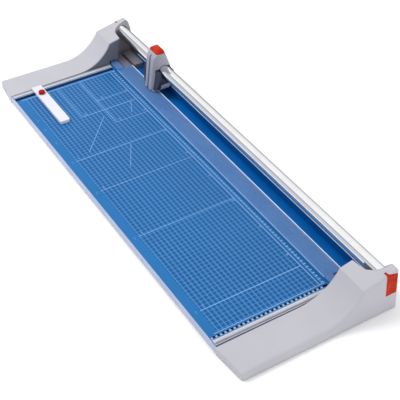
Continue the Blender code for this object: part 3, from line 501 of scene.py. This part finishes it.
def build_cover(side):
    """side is 1 for the near end (+X) and -1 for the far end."""
    label = "near" if side > 0 else "far"
    turn = (lambda bm: bm) if side > 0 else mirrored
    hollow = new_object("cover_hollow", cover_form(WALL, -0.001, -0.002))
    foot, head = recess_y(-0.004), recess_y(0.150)
    wall = [(front(foot), -0.004), (front(head), 0.150), (front(head - RECESS_WALL), 0.150),
            (front(foot - RECESS_WALL), -0.004)]
    combine(hollow, prism(wall, "X", INNER_X + 0.0058, LENGTH))
    behind = RECESS_END + RECESS_WALL
    end_wall = [(RECESS_END, -0.004), (behind, -0.004), (behind, FUNNEL_FOOT_Z),
                (behind + 0.0158, FUNNEL_FOOT_Z + 0.0192), (behind + 0.0158, 0.150),
                (RECESS_END, 0.150)]
    combine(hollow, prism(end_wall, "Y", front(RECESS_FOOT_Y - 0.004), front(0.40)))
    if side < 0:
        for vert in hollow.data.vertices:
            vert.co.x = -vert.co.x
        hollow.data.flip_normals()
    cover = new_object("cover_shell_" + label, turn(cover_form()), "cover")
    combine(cover, hollow)
    combine(cover, turn(top_opening()))
    combine(cover, turn(box((INNER_X - 0.001, front(0.3540), REAR_WALL_TOP),
                            (RECESS_END - 0.0005, front(0.363), FUNNEL_FOOT_Z + 0.0005))))
    combine(cover, turn(box((INNER_X - 0.001, front(0.286), -0.002),
                            (LENGTH / 2 - WALL - 0.001, front(0.3565), 0.0043))))
    combine(cover, turn(cylinder("X", (front(RAIL_Y), RAIL_Z), RAIL_RADIUS + 0.0005,
                                 RECESS_END - 0.001, INSERT_FOLD - 0.0030)))
    pocket = [(front(0.3305), 0.0400), (front(0.3560), 0.0400), (front(0.3560), 0.0881),
              (front(0.3305), 0.0921)]
    combine(cover, turn(prism(pocket, "X", INSERT_FOLD - GAP, LENGTH / 2 + 0.01)))
    # The faces inside the rail recess get the darker grey: painted shade in the recess.
    cover.data.materials.append(MAT["recess_shade"])
    for face in cover.data.polygons:
        x, y, z = abs(face.center.x) - INNER_X, face.center.y + DEPTH / 2, face.center.z
        if x < 0.0645 and RECESS_FOOT_Y - 0.002 < y < 0.3575 and z < top_height(y) - 0.0015:
            face.material_index = 1
    eased(cover, 0.0007, 3, 38)
    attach(cover, "base")
    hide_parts("end_cover_" + label)


def smoothed(points, steps):
    """More points along a smooth curve through the given ones."""
    out = []
    for i in range(len(points) - 1):
        p0 = Vector(points[max(i - 1, 0)])
        p1, p2 = Vector(points[i]), Vector(points[i + 1])
        p3 = Vector(points[min(i + 2, len(points) - 1)])
        for k in range(steps):
            t = k / steps
            out.append(tuple(0.5 * ((2 * p1) + (p2 - p0) * t + (2 * p0 - 5 * p1 + 4 * p2 - p3)
                                    * t * t + (3 * p1 - p0 - 3 * p2 + p3) * t ** 3)))
    out.append(tuple(points[-1]))
    return out


# ---------------------------------------------------------------- print and rules

def add_bar(bm, a, b, width, low, high):
    """A thin closed bar on the table from a to b."""
    a, b = Vector(a), Vector(b)
    side = (b - a).normalized().orthogonal() * width / 2
    corners = [a + side, b + side, b - side, a - side]
    rings = [[bm.verts.new((c.x, c.y, z)) for c in corners] for z in (low, high)]
    bm.faces.new(rings[0])
    bm.faces.new(rings[1])
    join_rings(bm, rings)


def bars(name, finish, lines, low, high, body="base"):
    """One printed layer: lines are (a, b, width) in (x, distance behind the front)."""
    bm = bmesh.new()
    for a, b, width in lines:
        add_bar(bm, (a[0], front(a[1])), (b[0], front(b[1])), width, low, high)
    obj = bpy.data.objects.new(name, bpy.data.meshes.new(name))
    bmesh.ops.recalc_face_normals(bm, faces=bm.faces)
    bm.to_mesh(obj.data)
    bm.free()
    bpy.context.scene.collection.objects.link(obj)
    obj.data.materials.append(MAT[finish])
    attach(obj, body)
    return obj


def digits(name, finish, items, height, level, turn=0.0):
    """Printed numbers: items are (text, x, distance behind the front)."""
    meshes = bmesh.new()
    for text, x, y in items:
        curve = bpy.data.curves.new(name, "FONT")
        curve.body = text
        curve.size = height
        curve.align_x = "CENTER"
        curve.align_y = "CENTER"
        curve.extrude = PRINT_LIFT / 2
        curve.resolution_u = 2
        holder = bpy.data.objects.new(name + "_text", curve)
        bpy.context.scene.collection.objects.link(holder)
        bpy.context.view_layer.update()
        evaluated = holder.evaluated_get(bpy.context.evaluated_depsgraph_get())
        mesh = bpy.data.meshes.new_from_object(evaluated)
        mesh.transform(Matrix.Translation((x, front(y), level)) @ Matrix.Rotation(turn, 4, "Z"))
        meshes.from_mesh(mesh)
        bpy.data.meshes.remove(mesh)
        bpy.data.objects.remove(holder)
    obj = bpy.data.objects.new(name, bpy.data.meshes.new(name))
    meshes.to_mesh(obj.data)
    meshes.free()
    bpy.context.scene.collection.objects.link(obj)
    obj.data.materials.append(MAT[finish])
    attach(obj, "base")
    return obj


def rule_x(size):
    """X of a size counted in millimetres from the far side guide."""
    return RULE_ZERO_X + size / 1000


def mark_size(mm, sizes):
    """Length and width of the mark at a millimetre: the first size whose step divides it."""
    for step, length, width in sizes:
        if mm % step == 0:
            return length, width


def build_print():
    """The table's print: grid, sheet-size lines, the scale beside the cut, and its numbers."""
    left, right = -PRINT_HALF, PRINT_HALF
    top, lift = TABLE_TOP, PRINT_LIFT
    steps_y = int(round((SCALE_LINE_Y - GRID_FRONT_Y) / GRID_STEP))
    rows = [SCALE_LINE_Y - GRID_STEP * i for i in range(steps_y + 1)]
    grid = [((left, y), (right, y), ROW_WIDTH) for y in rows]
    bars("print_rows", "line", grid, top - lift, top + lift * 0.5)
    between = [((left, y - GRID_STEP / 2), (right, y - GRID_STEP / 2), ROW_SHADOW_WIDTH)
               for y in rows[:-1]]
    bars("print_row_shadows", "dusk", between, top - lift, top + lift * 0.4)
    columns = [((x, GRID_FRONT_Y), (x, SCALE_LINE_Y), COLUMN_WIDTH)
               for x in (rule_x(10 * i) for i in range(1, 91)) if x < right - 0.002]
    bars("print_columns", "line", columns, top - lift, top + lift * 0.7)

    bold = [((rule_x(size), near_y), (rule_x(size), SCALE_LINE_Y), 0.0013)
            for size, near_y in zip(SHEET_SIZES, SHEET_LINE_FRONTS)]
    bold.append(((left, 0.1725), (rule_x(210), 0.1725), 0.0013))
    bold.append(((left, 0.112), (rule_x(148), 0.112), 0.0011))
    for side in (left, right):
        bold.append(((side, GRID_FRONT_Y - 0.008), (side, SCALE_LINE_Y + 0.013), 0.0016))
    for start, end in DIAGONALS:
        bold.append((start, end, 0.0010))
    bars("print_sheet_lines", "bold", bold, top - lift, top + lift * 0.9)
    bars("print_scale_line", "bold", [((left, SCALE_LINE_Y), (right, SCALE_LINE_Y), 0.0016)],
         top - lift, top + lift)

    ticks = []
    for mm in range(0, 901):
        x = rule_x(mm)
        if left < x < right:
            start = SCALE_LINE_Y + SCALE_MARK_GAP
            length, width = mark_size(mm, SCALE_MARKS)
            ticks.append(((x, start), (x, start + length), width))
    bars("print_scale_ticks", "bold", ticks, top - lift, top + lift * 0.8)

    band_y = SCALE_LINE_Y + SCALE_FIELD_DEPTH / 2
    band = [((left, band_y), (right, band_y), SCALE_FIELD_DEPTH)]
    bars("print_scale_field", "field", band, top - lift, top + lift * 0.3)
    middle = (GRID_FRONT_Y + SCALE_LINE_Y) / 2
    field = [((left, middle), (right, middle), SCALE_LINE_Y - GRID_FRONT_Y)]
    bars("print_field", "field", field, top - lift, top + lift * 0.3)

    numbers = [(str(i * 10), rule_x(100 * i), SCALE_LINE_Y - 0.0045) for i in range(1, 9)]
    numbers += [(str(size), rule_x(size) - 0.008, y)
                for size, y in zip(SHEET_SIZES, SHEET_NUMBER_PLACES)]
    digits("print_numbers", "bold", numbers, 0.0065, top)
    labels = [(str(size), rule_x(size), 0.0155) for size in SHEET_SIZES]
    digits("print_front_numbers", "line", labels, 0.0060, top)


def build_rules():
    """Both side guides: a dark channel, and a light rule with a millimetre scale on it."""
    inner, outer = INNER_X - 0.0282, INNER_X - 0.0007
    strip, slot_out, slot_in = outer - 0.0023, INNER_X - 0.0183, INNER_X - 0.0270
    edge = 0.0006
    channel = [(inner, GUIDE_BOTTOM), (outer, GUIDE_BOTTOM), (outer, GUIDE_STEP),
               (strip, GUIDE_STEP), (strip, GUIDE_RULE_BASE), (slot_out, GUIDE_RULE_BASE),
               (slot_out, GROOVE_FLOOR), (slot_in, GROOVE_FLOOR), (slot_in, TABLE_TOP),
               (inner, TABLE_TOP)]
    raised = [(slot_out, GUIDE_RULE_BASE), (strip, GUIDE_RULE_BASE), (strip, GUIDE_TOP - edge),
              (strip - edge, GUIDE_TOP), (slot_out + edge, GUIDE_TOP),
              (slot_out, GUIDE_TOP - edge)]
    for label, sign in (("far", -1), ("near", 1)):
        profile = [(sign * x, z) for x, z in channel]
        body = new_object("guide_channel_" + label,
                          prism(profile, "Y", front(GUIDE_FRONT), front(GUIDE_REAR)), "groove")
        eased(body, 0.0003, 2)
        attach(body, "base")
        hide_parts("side_guide_" + label)
        face = [(sign * x, z) for x, z in raised]
        rule = new_object("guide_rule_" + label,
                          prism(face, "Y", front(GUIDE_FRONT), front(GUIDE_REAR)), "rule")
        eased(rule, 0.0002, 2, 25)
        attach(rule, "base")
        print_guide(label, sign)


def print_guide(label, sign):
    """One side guide's millimetre marks, the ribs in its groove, and the lines along it."""
    marks, dashes = [], []
    start = sign * (INNER_X - 0.0088)
    for mm in range(0, 266):
        y = SCALE_LINE_Y + GRID_STEP - mm / 1000
        reach, width = mark_size(mm, GUIDE_MARKS)
        if 0.006 < y < 0.270:
            marks.append(((start, y), (start - sign * reach, y), width))
    bars("guide_marks_" + label, "mid", marks, GUIDE_TOP - PRINT_LIFT,
         GUIDE_TOP + PRINT_LIFT * 0.6)
    for cm in range(0, 27):
        y = SCALE_LINE_Y - cm / 100
        if y > 0.006:
            dashes.append(((sign * (INNER_X - 0.0264), y), (sign * (INNER_X - 0.0190), y),
                           0.0042))
    rib_top = NEAR_RIB_TOP if sign > 0 else GROOVE_FLOOR + PRINT_LIFT
    bars("guide_dashes_" + label, "bold", dashes, GROOVE_FLOOR - PRINT_LIFT, rib_top)
    # Lines along the guide; the gap and shade lines among them are painted shade beside the
    # cover.
    for part, finish, inset, width, level, rise, slot in GUIDE_LINES:
        x = sign * (INNER_X - inset)
        bars("guide_" + part + "_" + label, finish, [((x, 0.0045), (x, 0.2705), width)],
             level - PRINT_LIFT, level + PRINT_LIFT * rise)


def build_rail():
    """The polished tube, with eased ends."""
    outer, bore, end = RAIL_RADIUS, RAIL_BORE, RAIL_END
    ease, inner_ease = RAIL_EASE, RAIL_EASE / 2
    profile = [(outer, -end + ease), (outer - ease, -end), (bore + inner_ease, -end),
               (bore, -end + inner_ease), (bore, end - inner_ease), (bore + inner_ease, end),
               (outer - ease, end), (outer, end - ease)]
    tube = new_object("guide_tube", turned(profile, "X", (front(RAIL_Y), RAIL_Z), 160), "chrome")
    tube.data.shade_smooth()
    tube.data.set_sharp_from_angle(angle=math.radians(30))
    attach(tube, "base")
    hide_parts("guide_rail")


def build_pan_lip():
    """The drop pan's rolled rear edge below the tube, coloured near-white as a painted highlight.
    """
    low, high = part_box("drop_pan")
    y = high.y - 0.0008
    outline = [(y + 0.0014 * math.cos(a), high.z + 0.0002 + 0.0014 * math.sin(a))
               for a in (2 * math.pi * i / 16 for i in range(16))]
    lip = new_object("pan_rear_lip_highlight", prism(outline, "X", low.x + 0.004, high.x - 0.004), "painted_highlight")
    lip.data.shade_smooth()
    lip.data.set_sharp_from_angle(angle=math.radians(50))
    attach(lip, "base")


def build_clamp_edges():
    """The clear strip's two polished edges, drawn as painted highlights: a bright rear lip and a
    paler front line.
    """
    low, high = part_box("clamp_strip")
    y_low, y_high = low.y + DEPTH / 2, high.y + DEPTH / 2
    bars("clamp_rear_edge_highlight", "painted_highlight", [((low.x + 0.001, y_high - 0.0011),
                                      (high.x - 0.001, y_high - 0.0011), 0.0018)],
         high.z - PRINT_LIFT, high.z + PRINT_LIFT, "clamp")
    bars("clamp_front_edge_highlight", "bold", [((low.x + 0.001, y_low + 0.0010),
                                       (high.x - 0.001, y_low + 0.0010), 0.0016)],
         high.z - PRINT_LIFT, high.z + PRINT_LIFT, "clamp")


# ---------------------------------------------------------------- cutting head

def nose_front(z):
    brow = NOSE_BROW * max(0.0, z - NOSE_BROW_Z) ** 2
    return NOSE_FOOT + NOSE_LEAN * (z - HOUSING_BOTTOM) + brow


def head_rear(z, base=HEAD_REAR):
    return base - HEAD_REAR_LEAN * max(0.0, z - HOUSING_SHOULDER)


def head_section(z, inset=0.0, corner=0.0045, steps=5):
    """Plan of the head cover at a height, with rounded corners."""
    share = (z - HOUSING_BOTTOM) / (COVER_TOP_Z - HOUSING_BOTTOM)
    nose = 0.0133 + (0.0185 - 0.0133) * share - inset
    half = HEAD_HALF - inset
    y = nose_front(z) + inset
    rear = head_rear(z) - inset
    corners = [(nose, y, 0.0028), (half, y + 0.012, 0.0050), (half, rear, corner)]
    outline = [(0.0, y)] + corners + [(0.0, rear)]
    right = []
    for i in range(1, 4):
        before, (cx, cy, radius), after = outline[i - 1], outline[i], outline[i + 1]
        c = Vector((cx, cy))
        a = Vector(before[:2]) - c
        b = Vector(after[:2]) - c
        reach = min(radius, a.length * 0.45, b.length * 0.45)
        start, end = c + a.normalized() * reach, c + b.normalized() * reach
        for k in range(steps + 1):
            t = k / steps
            right.append(tuple((1 - t) ** 2 * start + 2 * t * (1 - t) * c + t * t * end))
    left = [(-px, py) for px, py in reversed(right)]
    return [(HEAD_X + px, front(py), z) for px, py in right + left]


def carriage_front(z):
    return CARRIAGE_FOOT + CARRIAGE_LEAN * (z - HOUSING_BOTTOM)


def lean_front(bm, low_y, front_at):
    for vert in bm.verts:
        if vert.co.y < front(low_y) + 1e-5:
            vert.co.y = front(front_at(vert.co.z))
    return bm


GROOVE_LEVELS = [0.0275, 0.050, 0.075, 0.095, 0.108, 0.112, 0.1165]


def groove_loft(half, deep, proud, levels):
    """A strip that follows the nose, from proud to deep behind its surface, tapering upwards."""
    sections = []
    for z in levels:
        wide = half - 0.0008 * z / 0.1165
        y = nose_front(max(z, HOUSING_BOTTOM))
        near, away = front(y + proud), front(y + deep)
        sections.append([(HEAD_X - wide, away, z), (HEAD_X + wide, away, z),
                         (HEAD_X + wide, near, z), (HEAD_X - wide, near, z)])
    return loft(sections)


def build_head_shell():
    levels = [HOUSING_BOTTOM + (HOUSING_SHOULDER - HOUSING_BOTTOM) * i / 8 for i in range(8)]
    levels += [HOUSING_SHOULDER + (0.1197 - HOUSING_SHOULDER) * i / 20 for i in range(21)]
    sections = [head_section(z) for z in levels]
    sections += [head_section(COVER_TOP_Z - 0.0004, 0.0003), head_section(COVER_TOP_Z, 0.0010)]
    cover = new_object("head_shell", loft(sections), "head")
    low = HOUSING_SHOULDER + GAP
    half = HOUSING_RADIUS + 0.005
    clearance = prism([(HEAD_X - half, 0.0), (HEAD_X + half, 0.0), (HEAD_X + half, low),
                       (HEAD_X - half, low)], "Y", front(0.30), front(0.40))
    combine(cover, lean_front(clearance, 0.30, lambda z: carriage_front(z) - GAP))
    neck, top = NECK_HALF + GAP, NECK_TOP + GAP
    pocket = [(front(carriage_front(0.0) - GAP), 0.0), (front(CARRIAGE_REAR + GAP), 0.0),
              (front(CARRIAGE_REAR + GAP), HOUSING_SHOULDER),
              (front(head_rear(top, CARRIAGE_REAR) + GAP), top),
              (front(carriage_front(top) - GAP), top)]
    combine(cover, prism(pocket, "X", HEAD_X - neck, HEAD_X + neck))
    combine(cover, cylinder("X", (front(RAIL_Y), RAIL_Z), RAIL_RADIUS + 0.0008,
                            HEAD_X - 0.05, HEAD_X + 0.05))
    for side in (-1, 1):
        slant = [(front(0.300), 0.0700), (front(0.375), 0.0700), (front(0.375), 0.0888),
                 (front(0.3515), 0.0862), (front(0.3130), 0.0800), (front(0.3000), 0.0700)]
        shave = prism(slant, "X", HEAD_X + side * NECK_HALF, HEAD_X + side * 0.03)
        bmesh.ops.recalc_face_normals(shave, faces=shave.faces)
        combine(cover, lean_front(shave, 0.3001, lambda z: carriage_front(z) - GAP))
    groove = groove_loft(0.0038, 0.0022, -0.030, [0.0] + GROOVE_LEVELS)
    combine(cover, groove)
    eased(cover, 0.0006, 3, 35)
    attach(cover, "head")
    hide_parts("head_cover")


def build_head():
    build_head_shell()
    # The nose groove is a real recess; the dark slate strip along its floor is painted shade of
    # the groove.
    strip = new_object("head_groove_shade_inlay",
                       groove_loft(0.0035, 0.0021, 0.0009, GROOVE_LEVELS), "slate")
    eased(strip, 0.0003, 2)
    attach(strip, "head")

    rim = head_section(COVER_TOP_Z, 0.0006, 0.0075, 7)
    centre = Vector((HEAD_X, (front(nose_front(COVER_TOP_Z)) + front(CAP_REAR)) / 2))
    sections = []
    for z, share in cap_levels():
        sections.append([(centre.x + (x - centre.x) * share, centre.y + (y - centre.y) * share, z)
                         for x, y, _ in rim])
    cap = new_object("head_cap_dome", loft(sections), "orange")
    cap.data.shade_smooth()
    cap.data.set_sharp_from_angle(angle=math.radians(60))
    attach(cap, "head")
    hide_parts("head_cap")

    for label, sign in (("left", -1), ("right", 1)):
        outer, inner = HOUSING_RADIUS + 0.0029, HOUSING_RADIUS + 0.0021
        strip = arc((0.0, HOUSING_CENTRE_Z), outer, -50, -14, 14)
        strip += arc((0.0, HOUSING_CENTRE_Z), inner, -14, -50, 14)
        lip = new_object("housing_lip_" + label,
                         prism([(HEAD_X + sign * x, z) for x, z in strip], "Y",
                               front(0.3175), front(0.3440)), "nylon")
        eased(lip, 0.0003, 2)
        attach(lip, "head")


def cap_levels():
    """The cap's height and share of its full outline, from the rim up to the crown."""
    levels = [(COVER_TOP_Z + GAP, 0.985), (COVER_TOP_Z + 0.0012, 1.0)]
    for degrees in range(8, 89, 8):
        turn = math.radians(degrees)
        levels.append((COVER_TOP_Z + 0.0012 + 0.0085 * math.sin(turn),
                       math.cos(turn) ** 0.62))
    return levels


# ---------------------------------------------------------------- carried-over nodes

FINISHES = {
    "slate": ("end_frame_", "blade_hub"),
    "carrier": ("clamp_carrier_",),
    "dark": ("head_carriage", "guard_rim_"),
    "mid": ("park_block_",),
    "table": ("table_panel",),
    "pan": ("drop_pan",),
    "trim": ("front_trim",),
    "aluminium": ("rail_plug_",),
    "clear": ("clamp_strip",),
    "orange": ("rail_insert_",),
    "red": ("backstop_knob",),
    "white": ("backstop_bar",),
    "nylon": ("press_shoe",),
    "bronze": ("rail_bush_",),
    "rubber": ("foot_",),
    "plated": ("knife_screw_", "cover_screw_", "head_screw_", "rail_bolt_", "rail_bracket_",
               "backstop_clamp_plate", "clamp_spring_", "blade_spring", "blade_axle",
               "front_beam", "middle_beam", "rear_beam"),
    "steel": ("lower_knife", "knife_beam", "blade"),
}
BEVELS = {"end_frame_": 0.0005, "head_carriage": 0.0008, "park_block_": 0.0004,
          "front_trim": 0.0004, "rail_insert_": 0.0005, "backstop_bar": 0.0018,
          "guard_rim_": 0.0004, "clamp_carrier_": 0.0004, "drop_pan": 0.0003,
          "press_shoe": 0.0004}


def dress_nodes():
    for name, obj in NODES.items():
        for finish, starts in FINISHES.items():
            if name.startswith(starts):
                obj.data.materials.clear()
                obj.data.materials.append(MAT[finish])
                break
        for start, width in BEVELS.items():
            if name.startswith(start):
                eased(obj, width, 2)


# ---------------------------------------------------------------- studio

# The view and lens were fitted to the photograph
CAMERA_PLACE = (1.5204, -0.8095, 1.3982)
CAMERA_AZIMUTH = math.radians(59.84)
CAMERA_ELEVATION = math.radians(40.15)
CAMERA_ROLL = math.radians(-1.27)
CAMERA_LENS = 89.7


def build_camera():
    back = Vector((math.sin(CAMERA_AZIMUTH) * math.cos(CAMERA_ELEVATION),
                   -math.cos(CAMERA_AZIMUTH) * math.cos(CAMERA_ELEVATION),
                   math.sin(CAMERA_ELEVATION)))
    right = Vector((0, 0, 1)).cross(back).normalized()
    up = back.cross(right)
    c, s = math.cos(CAMERA_ROLL), math.sin(CAMERA_ROLL)
    x_axis, y_axis = c * right + s * up, c * up - s * right
    data = bpy.data.cameras.new("camera")
    data.lens = CAMERA_LENS
    data.sensor_width = 36
    data.clip_start, data.clip_end = 0.05, 50
    camera = bpy.data.objects.new("camera", data)
    turn = Matrix((x_axis, y_axis, back)).transposed()
    camera.matrix_world = Matrix.Translation(CAMERA_PLACE) @ turn.to_4x4()
    bpy.context.scene.collection.objects.link(camera)
    bpy.context.scene.camera = camera


def area_light(name, place, target, size, power, colour=(1, 1, 1)):
    data = bpy.data.lights.new(name, "AREA")
    data.shape = "RECTANGLE"
    data.size, data.size_y = size
    data.energy = power
    data.color = colour
    light = bpy.data.objects.new(name, data)
    light.location = place
    direction = Vector(target) - Vector(place)
    light.rotation_euler = direction.to_track_quat("-Z", "Y").to_euler()
    light.visible_glossy = False
    bpy.context.scene.collection.objects.link(light)


def build_studio():
    floor_material = surface("studio_floor", (0.95, 0.95, 0.95), (0.94, 0.94, 0.94), 0.75,
                             patch=2, grain=200, relief=0.01).material
    bm = bmesh.new()
    bmesh.ops.create_grid(bm, x_segments=8, y_segments=8, size=6)
    floor = new_object("studio_floor", bm)
    floor.data.materials.append(floor_material)

    build_world()
    area_light("key", (-0.9, -1.2, 2.4), (0, 0, 0), (1.4, 1.1), 46)
    area_light("side_fill", (6.5, 0.2, 1.8), (0, 0, 0), (2.4, 1.6), 78)


def build_world():
    """A bright dome above and behind, fading to a soft grey in front of the trimmer."""
    world = bpy.data.worlds.new("studio_world")
    bpy.context.scene.world = world
    world.use_nodes = True
    tree = world.node_tree
    background = tree.nodes["Background"]
    coordinate = tree.nodes.new("ShaderNodeTexCoord")
    lean = tree.nodes.new("ShaderNodeVectorMath")
    lean.operation = "DOT_PRODUCT"
    lean.inputs[1].default_value = (0.0, 0.55, 0.83)
    tree.links.new(coordinate.outputs["Generated"], lean.inputs[0])
    ramp = tree.nodes.new("ShaderNodeValToRGB")
    stops = ramp.color_ramp.elements
    stops[0].position = 0.10
    stops[0].color = (0.62, 0.62, 0.66, 1)
    stops[1].position = 0.40
    stops[1].color = (0.96, 0.96, 0.97, 1)
    for place, tone in ((0.17, 0.34), (0.25, 0.34)):
        stop = stops.new(place)
        stop.color = (tone, tone, tone * 1.06, 1)
    tree.links.new(lean.outputs["Value"], ramp.inputs["Fac"])
    tree.links.new(ramp.outputs["Color"], background.inputs["Color"])
    background.inputs["Strength"].default_value = 1.0


def main():
    dress_nodes()
    for side in (-1, 1):
        build_cover(side)
    build_print()
    build_rules()
    build_rail()
    build_pan_lip()
    build_clamp_edges()
    build_head()
    build_camera()
    build_studio()


bpy.context.scene.view_settings.view_transform = "Standard"
main()
